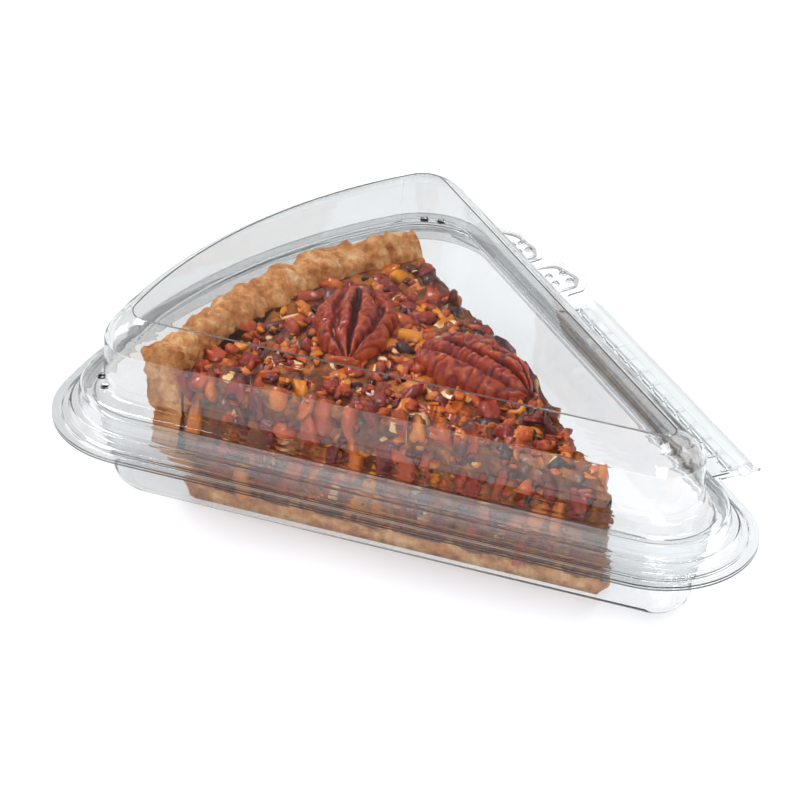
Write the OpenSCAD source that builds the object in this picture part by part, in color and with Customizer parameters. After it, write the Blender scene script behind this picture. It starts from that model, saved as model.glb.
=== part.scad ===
// Hinged wedge pack for one slice of pie: a clear tray and lid thermoformed as one sheet
// and folded together along a tear strip, with a slice of pecan pie inside.
// Millimetres. The tip of the wedge points to +X, the curved back to -X, the hinge is on the +Y side.
// A wall is drawn as a section in [s, z]: s is the distance outside the plain slice outline.

/* [Slice] */
// Radius of the plain slice outline, from its apex to the curved back
slice_r = 117; // [100:1:135]
// Angle of the slice
slice_angle = 45; // [40:1:50]
// How much tighter the corner at the tip is than the corners at the back
tip_tight = 3.5; // [3:0.1:4]

/* [Sheet] */
// Thickness of the formed sheet
sheet_t = 0.4; // [0.35:0.05:0.5]
// Space between the lid and the tray where they lie on each other
lid_gap = 0.3; // [0.25:0.05:0.5]
// Space between the tray's rim and the lid's skirt around it
fit_gap = 0.35; // [0.3:0.05:0.6]

/* [Tray] */
// Height of the tray's flat flange lip above the table
flange_z = 19; // [16:0.5:24]
// Where the flat floor would meet the straight wall
floor_s = 10.8; // [9.5:0.1:12]
// Where the wall reaches the top of the rim
rim_s = 15.6; // [14.5:0.1:16]
// Height of the tray's rim above the flange lip
rim_h = 6.3; // [4.5:0.1:6.8]
// Radius between the floor and the wall
floor_r = 4; // [2.5:0.1:5]

/* [Flange] */
// Outer edge of the flange
flange_s = 26.1; // [25.6:0.1:28]
// Width of the flat lip around the flange
lip_w = 1.9; // [1.6:0.1:2.2]
// Height of the step up from the lip
lip_step = 0.5; // [0.4:0.05:0.6]

/* [Lid] */
// Height of the closed pack
pack_h = 46; // [44:0.5:55]
// Foot of the lid's skirt on the flange
skirt_s = 22.4; // [22.2:0.1:22.8]
// Height of the small step in the skirt above the lid's lip
skirt_step_h = 2.9; // [2.6:0.1:3.2]
// Width of the small step in the skirt
skirt_step_w = 1.5; // [1.2:0.1:1.8]
// Outer edge of the ledge around the dome
shoulder_s = 18.9; // [18.5:0.1:19.3]
// Height of the ledge above the lid's lip
shoulder_h = 8.2; // [7.8:0.1:8.6]
// Foot of the dome on the ledge
foot_s = 13.4; // [13:0.1:13.8]
// Where the dome's steep wall turns into its slanted brow
brow_s = 12.8; // [12:0.1:12.9]
// Height of the flat top above the brow
brow_drop = 6.7; // [5:0.1:9]
// Edge of the flat top
crest_s = 5.9; // [5.5:0.1:7]
// How far the brow bulges out past a straight slant
brow_bulge = 0.9; // [0:0.1:1.2]

/* [Hinge strip] */
// Start of the strip, along the side from the apex
strip_start = 5; // [3:0.5:10]
// Distance from the end of the strip to the start of the back corner
strip_back = 31; // [29:0.5:36]
// Line of slits where the strip tears off
score_s = 29.2; // [28.5:0.1:29.4]
// Middle of the rounded channel
channel_s = 33.2; // [33.1:0.1:33.4]
// Outer radius of the channel
channel_r = 1.9; // [1.7:0.05:2]
// How far the channel stands out past the sheets beside it
channel_out = 0.8; // [0.5:0.05:1]
// Fold line between the two halves, which is the hinge
fold_s = 36.8; // [36.4:0.1:38]
// Radius of the rounded edge along the fold
fold_r = 0.42; // [0.35:0.01:0.5]
// Distance from one cross rib to the next
rib_pitch = 6.47; // [5.5:0.01:8]
// Width of a cross rib
rib_w = 1.8; // [1:0.1:2.2]
// Length of one slit
slit_l = 4.4; // [3:0.1:4.6]
// Width of one slit
slit_w = 0.5; // [0.3:0.05:0.6]
// How far the lid's half of the strip is raised above the flange beside it
strip_rise = 0.9; // [0.6:0.05:1.1]

/* [Tabs] */
// Reach of the lid's lift tab
lid_tab_reach = 39; // [37:0.5:41]
// Width of the lid's lift tab
lid_tab_w = 18.5; // [17:0.5:20]
// Distance from the lid's lift tab to the start of the back corner
lid_tab_back = 6; // [5.5:0.5:8]
// Reach of the tray's lift tab
tray_tab_reach = 35.2; // [34:0.2:37]
// Width of the tray's lift tab, as far as it stands clear of the flange
tray_tab_w = 24; // [22:0.5:25]
// Width of the rim around a tab's raised border, as a share of how far the tab stands out
tab_edge = 0.18; // [0.12:0.01:0.22]
// Distance between the grip dots along a tab
dot_pitch = 3.9; // [3.4:0.1:4.2]
// Radius of a grip dot
dot_r = 1.1; // [0.8:0.1:1.3]

/* [Pie] */
// Room between the pie's rim and the foot of the dome at the curved back
rim_space = 11.9; // [8:0.1:16]
// How far the pie widens from its bottom to its rim
pie_flare = 14; // [10:0.5:18]
// Thickness of the crust
crust_t = 4; // [3:0.1:5]
// Radius of the crust's rounded rim
rim_r = 5.2; // [4.5:0.1:6]
// Height of the filling above the tray's floor
filling_h = 32.5; // [28:0.5:34]
// How far the crust's rim stands above the filling
crust_rise = 4.6; // [3.5:0.1:5.2]
// Number of pinches along the crust's rim
crimps = 11; // [7:1:13]
// How much lower the filling is at the tip of the slice
tip_drop = 6; // [0:0.5:8]
// Length of the part that slopes down to the tip
tip_reach = 32; // [24:1:34]
// Distance of the far cut face inside the slice outline, half way up
far_cut = 5; // [3:0.1:7]
// Lean of the far cut face
far_lean = 3; // [0:0.5:6]
// How far the near cut face lies outside the slice outline, half way up
near_cut = 6.4; // [3:0.1:6.6]
// Lean of the near cut face
near_lean = 3; // [0:0.5:4]
// Space between the filling and the crust's wall
bake_gap = 0.3; // [0.25:0.05:0.5]
// Distance between the chopped nuts
nut_pitch = 7.4; // [6.5:0.1:10]
// Size of a piece of chopped nut
nut_r = 2.9; // [2:0.1:3.1]
// Length of a pecan half
half_l = 32; // [26:0.5:34]
// Width of a pecan half
half_w = 19; // [16:0.5:20]
// Height of a pecan half
half_h = 5.4; // [4:0.1:6]

/* [Hidden] */
$fn = 96;
round_step = 24;
clear_blue = [0.86, 0.93, 0.95, 0.45];

side_a = slice_angle / 2;
side_n = [sin(side_a), cos(side_a)];
side_d = [-cos(side_a), sin(side_a)];
tip_x = tip_tight / sin(side_a);
side_l = slice_r + tip_x * cos(side_a);
lid_z = flange_z + lid_gap + sheet_t;
fold_z = flange_z - sheet_t + fold_r - 0.02;
ledge_z = lid_z + shoulder_h;
brow_z = pack_h - brow_drop;
web_z = lid_z + lip_step;
strip_z = web_z + strip_rise;
skirt_in_s = shoulder_s + 1;
panel_s = crest_s - 1.4;
fold_clear = 0.3;
fold_end = sqrt(pow(fold_r + fold_clear, 2) - pow(flange_z + lid_gap - fold_z, 2));
raised_s = flange_s - lip_w - lip_step;
lip_mid_s = flange_s - lip_w / 2;
strip_end = slice_r - strip_back;
strip_l = strip_end - strip_start;
rib_count = floor((strip_l - rib_w) / rib_pitch);
rib_from = strip_end - rib_w / 2 - rib_pitch / 4;
mid_x = (slice_r + tip_tight - tip_x) / 2;

// Small vector helpers.
function unit(v) = v / norm(v);
function right_of(u) = [u.y, -u.x];
function turned(v, a) = [v.x * cos(a) - v.y * sin(a), v.x * sin(a) + v.y * cos(a)];
function flat(p) = [p.x, p.y];

// The corner at b between a and c, rounded to radius r, as points along the arc.
function corner(a, b, c, r) =
    let (u = unit(b - a), v = unit(c - b), side = sign(cross(u, v)), t = acos(max(-1, min(1, u * v))))
    (r <= 0 || t < 1) ? [b] :
    let (n = ceil(t / round_step), start = b - r * tan(t / 2) * u, mid = start - side * r * right_of(u))
    [for (k = [0 : n]) mid + turned(start - mid, side * t * k / n)];

// A path of [s, z, radius] points with its corners rounded.
function rounded(p) = [for (i = [0 : len(p) - 1])
    each (i == 0 || i == len(p) - 1) ?
        [flat(p[i])] :
        corner(flat(p[i - 1]), flat(p[i]), flat(p[i + 1]), p[i][2])];

// The same path moved to its right by t, with the radii changed to stay concentric.
function moved(p, t) = [for (i = [0 : len(p) - 1])
    let (
        u = unit(flat(p[min(i + 1, len(p) - 1)]) - flat(p[min(i, len(p) - 2)])),
        w = unit(flat(p[max(i, 1)]) - flat(p[max(i - 1, 0)])),
        m = (right_of(u) + right_of(w)) / (1 + u * w),
        grow = sign(cross(w, u)) * t,
        q = flat(p[i]) + m * t
    )
    [q.x, q.y, p[i][2] > 0 ? max(p[i][2] + grow, 0.05) : 0]];

// The section of a sheet whose upper surface follows a path.
function sheet(p, t) =
    let (top = rounded(p), under = rounded(moved(p, t)))
    concat(top, [for (i = [len(under) - 1 : -1 : 0]) under[i]]);

// A closed outline of [x, y, radius] points with every corner rounded.
function outline(p) = let (n = len(p)) [for (i = [0 : n - 1])
    each corner(flat(p[(i + n - 1) % n]), flat(p[i]), flat(p[(i + 1) % n]), p[i][2])];

// Points on the slanted brow between its two ends, bulging out along a parabola.
function brow_points(n) =
    let (a = [crest_s, pack_h], b = [brow_s, brow_z], out = unit([a.y - b.y, b.x - a.x]))
    [for (k = [1 : n - 1])
        let (f = k / n, q = a + (b - a) * f + out * brow_bulge * 4 * f * (1 - f))
        [q.x, q.y, 0]];

// Upper surface of the lid, from the flat top to the edge of the flange.
lid_path = concat(
    [[panel_s, pack_h, 0], [crest_s, pack_h, 0.8]],
    brow_points(9),
    [
        [brow_s, brow_z, 0.8],
        [foot_s, ledge_z, 1.2],
        [shoulder_s, ledge_z, 1.6],
        [skirt_in_s, lid_z + skirt_step_h, 0.6],
        [skirt_in_s + skirt_step_w, lid_z + skirt_step_h, 0.6],
        [skirt_s, web_z, 0.5],
        [raised_s, web_z, 0.3],
        [flange_s - lip_w, lid_z, 0.3],
        [flange_s, lid_z, 0]
    ]);

// Upper surface of the tray, from the floor over the rim to the edge of the flange.
tray_path = [
    [panel_s, sheet_t, 0],
    [floor_s, sheet_t, floor_r],
    [rim_s, flange_z + rim_h, 0.9],
    [shoulder_s - sheet_t - fit_gap, flange_z + rim_h, 0.9],
    [skirt_in_s - sheet_t - fit_gap, flange_z + lip_step, 0.5],
    [raised_s, flange_z + lip_step, 0.3],
    [flange_s - lip_w, flange_z, 0.3],
    [flange_s, flange_z, 0]
];

// Carries a section round the whole wedge: tip, two sides, two corners and the curved back.
module around(section) {
    translate([tip_x, 0, 0])
        rotate(side_a - 90)
            rotate_extrude(angle = 180 - slice_angle)
                translate([-tip_tight, 0])
                    polygon(section);
    for (side = [0, 1])
        mirror([0, side, 0])
            translate(slice_r * side_d) {
                rotate([90, 0, 90 - side_a])
                    linear_extrude(side_l)
                        polygon(section);
                rotate(90 - side_a)
                    rotate_extrude(angle = 90)
                        polygon(section);
            }
    rotate(180 - side_a)
        rotate_extrude(angle = slice_angle)
            translate([slice_r, 0])
                polygon(section);
}

// Points round the wedge at the distance s, with arcs in a few straight steps.
function arc_points(mid, r, from, to, n) = [for (k = [0 : n])
    let (a = from + (to - from) * k / n) mid + r * [cos(a), sin(a)]];
function wedge_points(s) = concat(
    arc_points([tip_x, 0], s - tip_tight, side_a - 90, 90 - side_a, 8),
    arc_points(slice_r * side_d, s, 90 - side_a, 180 - side_a, 6),
    arc_points([0, 0], slice_r + s, 180 - side_a, 180 + side_a, 8),
    arc_points([slice_r * side_d.x, -slice_r * side_d.y], s, 180 + side_a, 270 + side_a, 6));

// The flat sheet that closes the wedge inside its swept walls.
module wedge_plate() {
    linear_extrude(sheet_t)
        polygon(wedge_points(panel_s + 0.8));
}

// Places children on the hinge side: their x runs along the side from the apex, their y is s.
module on_side() {
    multmatrix([[side_d.x, side_n.x, 0, 0], [side_d.y, side_n.y, 0, 0], [0, 0, 1, 0], [0, 0, 0, 1]])
        children();
}

// A section in [s, z] run along the hinge side from one place to another.
module along_side(section, from, to) {
    translate(to * side_d)
        rotate([90, 0, 90 - side_a])
            linear_extrude(to - from)
                polygon(section);
}

// The slits of the tear line, with a bridge at each rib.
module slits(z) {
    on_side()
        for (i = [0 : rib_count - 1])
            translate([rib_from - (i + 0.5) * rib_pitch, score_s, z])
                cube([slit_l, slit_w, 4 * sheet_t], center = true);
}

// The rounded ribs that cross the raised web at each bridge,
// each with a thin ridge on the flange beside it.
module ribs() {
    rib_r = rib_w / 2;
    rib_sink = rib_r / 2;
    top = channel_s - channel_r - 0.2;
    on_side()
        for (i = [0 : rib_count])
            translate([rib_from - i * rib_pitch, 0, 0]) {
                translate([0, top, strip_z - rib_sink])
                    rotate([90, 0, 0])
                        cylinder(r = rib_r, h = top - score_s - 0.2, $fn = 48);
                translate([-rib_w / 6, raised_s + 3.4, web_z - 0.05])
                    cube([rib_w / 3, score_s - raised_s - 3.4, 0.35]);
            }
}

// Part of a tube seen from its end, from one angle to another.
function channel_arc(r, mid_z, from, to) = [for (k = [0 : 8])
    let (a = from + (to - from) * k / 8) [channel_s + r * cos(a), mid_z + r * sin(a), 0]];

// The lid's half of the strip: the flange runs out flat to the tear line, steps up to a web,
// rises over the channel and drops to the land beside the fold.
module lid_strip() {
    mid_z = strip_z + channel_out - channel_r;
    low = asin((lid_z - mid_z) / channel_r);
    path = concat(
        [[raised_s - 0.9, web_z, 0], [score_s - 0.3, web_z, 0.3], [score_s + 0.4, strip_z, 0.3]],
        [[channel_s - channel_r + 0.1, strip_z, 0.3]],
        channel_arc(channel_r, mid_z, 150, low),
        [[fold_s - fold_end, lid_z, 0]]);
    difference() {
        along_side(sheet(path, sheet_t), strip_start, strip_end);
        slits(strip_z - 0.3);
    }
    ribs();
}

// The space in the lid's flange where the strip takes the place of the lip.
module lip_space() {
    on_side()
        translate([strip_start, raised_s - 0.5, lid_z - 1])
            cube([strip_l, 2 * lip_w, 3]);
}

// The tray's half of the strip: a web, the lower half of the channel and the rounded edge of the fold.
module tray_strip() {
    inner_r = channel_r - sheet_t;
    open_a = asin((inner_r - channel_out) / inner_r);
    path = concat(
        [[lip_mid_s, flange_z, 0]],
        channel_arc(inner_r, flange_z + inner_r - channel_out, 180 + open_a, 360 - open_a),
        [[fold_s, flange_z, 0]]);
    difference() {
        along_side(sheet(path, sheet_t), strip_start, strip_end);
        slits(flange_z);
    }
    on_side()
        translate([strip_start, fold_s, fold_z])
            rotate([0, 90, 0])
                cylinder(r = fold_r, h = strip_l);
}

// Flat plate on the hinge side with rounded corners.
module side_plate(points, z) {
    on_side()
        translate([0, 0, z - sheet_t])
            linear_extrude(sheet_t)
                polygon(outline(points));
}

// Grip dots in a square: the domes raised from a tab, or the hollows under them.
module dots(u, reach, z) {
    on_side()
        for (i = [-0.5, 0.5], f = [0.31, 0.62])
            translate([u + i * dot_pitch, flange_s + (reach - flange_s) * f, z - 0.1])
                cylinder(r1 = dot_r, r2 = dot_r * 0.5, h = 0.65);
}

// The raised border on a tab, between an outline and a smaller one.
module border(outer, inner, z) {
    on_side()
        translate([0, 0, z - 0.05])
            linear_extrude(0.4)
                difference() {
                    polygon(outline(outer));
                    polygon(outline(inner));
                }
}

// The outline of a lift tab between the places u0 and u1: h is how far it stands out past the flange,
// e is how far the outline lies inside the tab's edge.
function lid_tab_outline(u0, u1, root, reach, e) =
    let (w = u1 - u0, h = reach - flange_s)
    [
        [u0 + e, root, 0.3],
        [u0 + w * 0.08 + e * 0.8, reach - h * 0.29 - e * 0.4, h * 0.15],
        [u0 + w * 0.33 + e * 0.3, reach - e, h * 0.18],
        [u1 - w * 0.08 - e * 0.8, reach - h * 0.19 - e * 0.9, h * 0.2],
        [u1 - e, root, 0.3]
    ];
function tray_tab_outline(u0, u1, root, reach, e) =
    let (w = u1 - u0, h = reach - flange_s)
    [
        [u0 + e, root, 0.3],
        [u0 + w * 0.05 + e * 0.7, reach - h * 0.22 - e * 0.6, h * 0.17],
        [u0 + w * 0.22 + e * 0.3, reach - e, h * 0.2],
        [u0 + w * 0.56, reach - h * 0.11 - e, h * 0.4]
    ];
function tray_tab_slope(u0, u1, root, reach, e) =
    let (w = u1 - u0, h = reach - flange_s)
    u0 + w * 0.56 + (h * 0.89 - e * 1.24 - (root - flange_s)) * w * 0.44 / (h * 0.88);

// The lid's lift tab, and the short web beside the strip.
module lid_tab() {
    u1 = slice_r - lid_tab_back;
    u0 = u1 - lid_tab_w;
    web_s = score_s + 0.8;
    rise = lid_tab_reach - flange_s;
    border_s = flange_s + rise * 0.11;
    edge = rise * tab_edge;
    ridge = rise * 0.06;
    difference() {
        union() {
            side_plate(lid_tab_outline(u0, u1, lip_mid_s, lid_tab_reach, 0), lid_z);
            dots((u0 + u1) / 2, lid_tab_reach, lid_z);
        }
        dots((u0 + u1) / 2, lid_tab_reach, lid_z - sheet_t);
    }
    side_plate([
        [strip_end - 0.4, lip_mid_s, 0],
        [strip_end - 0.4, web_s, 0],
        [u0 + 0.4, web_s, 1],
        [u0 + 1.6, web_s + 2.4, 0],
        [u0 + 2.4, lip_mid_s, 0]], lid_z);
    border(
        lid_tab_outline(u0, u1, border_s, lid_tab_reach, edge),
        lid_tab_outline(u0, u1, border_s + ridge, lid_tab_reach, edge + ridge),
        lid_z);
}

// The tray's lift tab, which starts before the back corner and runs out beside it.
module tray_tab() {
    u0 = slice_r - lid_tab_back + 1.8;
    u1 = u0 + tray_tab_w + 1;
    rise = tray_tab_reach - flange_s;
    border_s = flange_s + rise * 0.12;
    edge = rise * tab_edge;
    inner_s = border_s + rise * 0.08;
    inner_edge = edge + rise * 0.08;
    dots_u = u0 + tray_tab_w * 0.36;
    difference() {
        union() {
            side_plate(concat(
                tray_tab_outline(u0, u1, lip_mid_s, tray_tab_reach, 0),
                [
                    [u1, flange_s, rise * 0.3],
                    [slice_r + flange_s * 0.64, flange_s * 0.62, 0]
                ]), flange_z);
            dots(dots_u, tray_tab_reach, flange_z);
        }
        dots(dots_u, tray_tab_reach, flange_z - sheet_t);
    }
    border(
        concat(
            tray_tab_outline(u0, u1, border_s, tray_tab_reach, edge),
            [[tray_tab_slope(u0, u1, border_s, tray_tab_reach, edge), border_s, 0.5]]),
        concat(
            tray_tab_outline(u0, u1, inner_s, tray_tab_reach, inner_edge),
            [[tray_tab_slope(u0, u1, inner_s, tray_tab_reach, inner_edge), inner_s, 0.4]]),
        flange_z);
}

module base_tray() {
    color(clear_blue) {
        around(sheet(tray_path, sheet_t));
        wedge_plate();
        tray_strip();
        tray_tab();
    }
}

// The small lugs on the ledge in the back corners, which keep stacked lids apart.
module stacking_lugs() {
    lug_a = 131;
    lug_r = 1.1;
    lug_h = 0.6;
    for (y = [1, -1])
        translate([slice_r * side_d.x, y * slice_r * side_d.y, ledge_z - sheet_t / 2])
            for (a = [lug_a, lug_a - 19])
                rotate(y * a)
                    translate([foot_s + 0.4, 0, 0]) {
                        cylinder(r = lug_r, h = lug_h);
                        translate([0, 0, lug_h])
                            cylinder(r1 = lug_r, r2 = lug_r * 0.5, h = lug_r * 0.6);
                    }
}

module lid() {
    color(clear_blue) {
        difference() {
            around(sheet(lid_path, sheet_t));
            lip_space();
        }
        translate([0, 0, pack_h - sheet_t])
            wedge_plate();
        lid_strip();
        lid_tab();
        stacking_lugs();
    }
}

// The pie stands on the tray's floor, with its own apex moved to suit the two cuts.
pie_z = sheet_t;
top_z = pie_z + filling_h;
pie_r = slice_r + foot_s - sheet_t - rim_space;
foot_r = pie_r - pie_flare;
wall_z = pie_z + filling_h * 0.4;
wall_r = foot_r + pie_flare * 0.72;
in_r = pie_r - 2 * rim_r;
rim_mid_z = top_z + crust_rise - rim_r;
pie_apex = [(near_cut - far_cut) / (2 * sin(side_a)), -(near_cut + far_cut) / (2 * cos(side_a))];
rim_at = [pie_r - rim_r, rim_mid_z];

// Moves children to a cut face of the slice: x runs from the apex outwards, z up the face, y out of it.
module near_face() {
    translate([pie_apex.x, pie_apex.y, pie_z + filling_h / 2])
        rotate(180 + side_a)
            rotate([near_lean, 0, 0])
                children();
}
module far_face() {
    translate([pie_apex.x, pie_apex.y, pie_z + filling_h / 2])
        mirror([0, 1, 0])
            rotate(180 + side_a)
                rotate([far_lean, 0, 0])
                    children();
}

// The slope from the top of the filling down to the tip.
module above_tip() {
    fall = atan(tip_drop / tip_reach);
    translate([pie_apex.x - tip_reach, -pie_r, top_z])
        rotate([0, fall, 0])
            cube([2 * tip_reach, 2 * pie_r, 2 * tip_drop + 10]);
}

// The wedge between the two cuts of the knife.
module between_cuts() {
    big = 2 * pie_r;
    difference() {
        translate([-big, -big, 0])
            cube([big * 1.25, 2 * big, big]);
        near_face()
            translate([-big, 0, -big])
                cube([3 * big, 2 * big, 2 * big]);
        far_face()
            translate([-big, 0, -big])
                cube([3 * big, 2 * big, 2 * big]);
    }
}

// Part of the whole pie turned about its own middle.
module turned_pie(section) {
    translate([pie_apex.x, pie_apex.y, 0])
        rotate(180 - side_a - 10)
            rotate_extrude(angle = slice_angle + 20)
                polygon(section);
}

// Section of the room inside the crust, drawn in by a gap.
function filling_section(gap) = [
    [0, pie_z + crust_t],
    [foot_r - crust_t - 1 - gap, pie_z + crust_t],
    [wall_r - crust_t - 1 - gap, wall_z],
    [in_r - gap, top_z],
    [0, top_z]];

// The pinched lumps of dough along the rim, each of its own size.
module rim_lumps() {
    for (k = [0 : crimps - 1])
        translate([pie_apex.x, pie_apex.y, rim_mid_z - 0.4])
            rotate(180 - side_a - 1.5 + (slice_angle + 3) * k / (crimps - 1))
                translate([rim_at.x + 0.5 * sin(157 * k), 0, 0])
                    rotate([90, 0, 0])
                        sphere(rim_r + 0.5 + 0.45 * sin(211 * k + 40), $fn = 32);
}

module pie_crust() {
    color([0.80, 0.56, 0.33])
        intersection() {
            difference() {
                union() {
                    turned_pie(concat(
                        [[0, pie_z], [foot_r, pie_z], [wall_r, wall_z]],
                        [for (k = [0 : 10]) let (a = -20 + 22 * k) rim_at + rim_r * [cos(a), sin(a)]],
                        [[0, rim_mid_z - rim_r * 0.5]]));
                    rim_lumps();
                }
                turned_pie(filling_section(0));
            }
            between_cuts();
        }
}

// Spots for the chopped nuts on top: rows across the slice, alternately shifted.
function nut_spot(i, j) =
    let (r = 12 + nut_pitch * i, a = 180 + (j - (i % 2) / 2) * nut_pitch / r * 57.3 + 7 * sin(131 * i))
    r * [cos(a), sin(a)];
rear_half = [pie_r * 0.73, 2, 129];
front_half = [pie_r * 0.45, 10, 3];
function half_at(h) = pie_apex + h[0] * [-cos(h[1]), sin(h[1])];
function beside_half(p, h) =
    let (q = turned(p - half_at(h), -h[2]))
    pow(q.x / (half_l / 2 + nut_r + 0.3), 2) + pow(q.y / (half_w / 2 + nut_r + 0.3), 2) > 1;
function clear_spot(q) =
    let (p = pie_apex + q)
    norm(q) < in_r - nut_r - 1.2 && q * side_n < -nut_r - 2.2 && q * [side_n.x, -side_n.y] < -nut_r - 3.2
    && beside_half(p, rear_half) && beside_half(p, front_half);

// One piece of chopped nut with five sides.
module nut_piece(seed, size, h) {
    rotate(137 * seed)
        linear_extrude(h)
            polygon([for (k = [0 : 4])
                size * (0.8 + 0.2 * sin(97 * seed + 151 * k)) * [cos(72 * k), 0.72 * sin(72 * k)]]);
}

// Nuts on top, which follow the slope at the tip.
module top_nuts() {
    for (i = [0 : floor((in_r - 14) / nut_pitch)], j = [-6 : 6])
        let (q = nut_spot(i, j), lower = max(0, tip_drop * (1 + q.x / tip_reach)))
            if (clear_spot(q))
                translate([pie_apex.x + q.x, pie_apex.y + q.y, top_z - lower - 1.2])
                    nut_piece(i * 9 + j + 4, nut_r, 2.8 + 1.1 * sin(83 * i + 47 * j));
}

// Cut nuts that stand out of a cut face.
module face_nuts(shift) {
    rows = floor((filling_h - crust_t - 8) / nut_pitch);
    for (i = [0 : floor((foot_r - crust_t - 22) / nut_pitch)], j = [0 : rows])
        translate([
            14 + shift + nut_pitch * (i + (j % 2) / 2),
            0.7 + 0.3 * sin(71 * i + 113 * j),
            -filling_h / 2 + crust_t + 5.2 + (j + 0.12 * sin(59 * i)) * nut_pitch * 0.94
        ])
            rotate([90, 0, 0])
                nut_piece(7 * i + 3 * j, nut_r * 1.05, 2.6);
}

module pecan_filling() {
    color([0.45, 0.19, 0.07]) {
        difference() {
            intersection() {
                turned_pie(filling_section(bake_gap));
                between_cuts();
            }
            above_tip();
        }
        difference() {
            near_face()
                face_nuts(0);
            above_tip();
        }
        far_face()
            face_nuts(3);
        top_nuts();
    }
}

// Half a pecan lying on its flat side: a domed oval with a deep groove along the middle
// and shallow furrows on both sides.
function half_height(u, v) =
    let (edge = 1 - u * u, across = 1 - v * v)
    (edge < 0.0001 || across < 0.0001) ? 0 :
    half_h * pow(edge, 0.45) * sqrt(across)
    * (1 - 0.38 * exp(-v * v * 60) - 0.13 * pow(sin(540 * v + 60 * u), 2));

module pecan_half(h) {
    rows = 14;
    cols = 14;
    at = half_at(h);
    points = [for (i = [0 : rows], j = [0 : cols])
        let (
            u = -cos(180 * i / rows),
            v = -cos(180 * j / cols),
            w = half_w / 2 * pow(1 - 0.985 * u * u, 0.42) * (1 - 0.1 * u)
        )
        [half_l / 2 * u, w * v, half_height(u, v)]];
    ring = concat(
        [for (j = [0 : cols]) j],
        [for (i = [1 : rows]) i * (cols + 1) + cols],
        [for (j = [cols - 1 : -1 : 0]) rows * (cols + 1) + j],
        [for (i = [rows - 1 : -1 : 1]) i * (cols + 1)]);
    faces = concat(
        [for (i = [0 : rows - 1], j = [0 : cols - 1])
            let (a = i * (cols + 1) + j, b = a + cols + 1, even = (i < rows / 2) == (j < cols / 2))
            each even ? [[a, a + 1, b + 1], [a, b + 1, b]] : [[a, a + 1, b], [a + 1, b + 1, b]]],
        [[for (k = [len(ring) - 1 : -1 : 0]) ring[k]]]);
    color([0.52, 0.20, 0.11])
        translate([at.x, at.y, top_z])
            rotate(h[2])
                polyhedron(points, faces);
}

module pecan_half_rear() {
    pecan_half(rear_half);
}

module pecan_half_front() {
    pecan_half(front_half);
}

// The origin lies on the table, on the wedge's middle line, half way along the flange.
module placed() {
    translate([mid_x, 0, 0])
        children();
}

placed() base_tray();
placed() lid();
placed() pie_crust();
placed() pecan_filling();
placed() pecan_half_rear();
placed() pecan_half_front();
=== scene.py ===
import math

import bmesh
import bpy
import numpy as np
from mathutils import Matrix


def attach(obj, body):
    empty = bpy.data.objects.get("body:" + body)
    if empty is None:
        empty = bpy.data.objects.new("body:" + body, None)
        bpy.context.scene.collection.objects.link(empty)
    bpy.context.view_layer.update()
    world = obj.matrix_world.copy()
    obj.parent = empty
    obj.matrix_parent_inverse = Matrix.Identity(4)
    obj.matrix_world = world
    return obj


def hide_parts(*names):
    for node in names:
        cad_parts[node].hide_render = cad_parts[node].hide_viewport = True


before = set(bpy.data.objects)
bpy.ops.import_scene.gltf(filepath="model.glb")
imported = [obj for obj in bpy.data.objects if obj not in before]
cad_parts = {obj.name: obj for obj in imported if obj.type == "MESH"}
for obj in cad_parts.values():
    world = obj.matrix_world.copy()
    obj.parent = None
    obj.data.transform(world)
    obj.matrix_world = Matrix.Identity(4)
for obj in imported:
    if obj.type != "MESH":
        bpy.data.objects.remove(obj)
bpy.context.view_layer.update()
print("frame loaded:", ", ".join(sorted(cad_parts)))

mm = 0.001

# Where the slice lies in the pack, from the CAD, in millimetres and degrees
slicePlace = {
    "apex": (57.508, -6.170),
    "halfAngle": 22.5,      # from the middle of the slice to each cut face
    "bottom": 0.4,
    "top": 32.9,
    "lean": 3.0,            # of the cut faces, inwards towards the top
    "tipDrop": 6.0,         # the top slopes down by this at the apex
    "tipReach": 32.0,       # and starts to slope this far from it
}


# small tools for colours, nodes and meshes

def linearColour(hexValue):
    # sRGB to linear: the low end is a straight line, the rest a power curve
    parts = [int(hexValue[i:i + 2], 16) / 255 for i in (1, 3, 5)]
    return [c / 12.92 if c <= 0.04045 else ((c + 0.055) / 1.055) ** 2.4 for c in parts] + [1.0]


def addNode(tree, kind, settings=None, links=None):
    # An input is given by its name, or by its number where several have one name
    node = tree.nodes.new(kind)
    for name, value in (settings or {}).items():
        if isinstance(name, int) or name in node.inputs:
            node.inputs[name].default_value = value
        else:
            setattr(node, name, value)
    for name, source in (links or {}).items():
        tree.links.new(source, node.inputs[name])
    return node


def newMaterial(name):
    material = bpy.data.materials.new(name)
    material.use_nodes = True
    material.node_tree.nodes.clear()
    return material, material.node_tree


def setRamp(node, stops):
    ramp = node.color_ramp
    while len(ramp.elements) < len(stops):
        ramp.elements.new(0.5)
    for element, (place, colour) in zip(ramp.elements, stops):
        element.position = place
        element.color = linearColour(colour)


def planeWaves(points, size, seed, count=14):
    # Soft lumps: a sum of plane waves in random directions, each with a length near the given size
    rng = np.random.default_rng(seed)
    total = np.zeros(points.shape[:-1])
    for _ in range(count):
        way = rng.normal(size=3)
        way /= np.linalg.norm(way)
        length = size * rng.uniform(0.6, 1.5)
        total += np.sin(points @ way * (2 * math.pi / length) + rng.uniform(0, 2 * math.pi))
    return total / math.sqrt(count)


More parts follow.
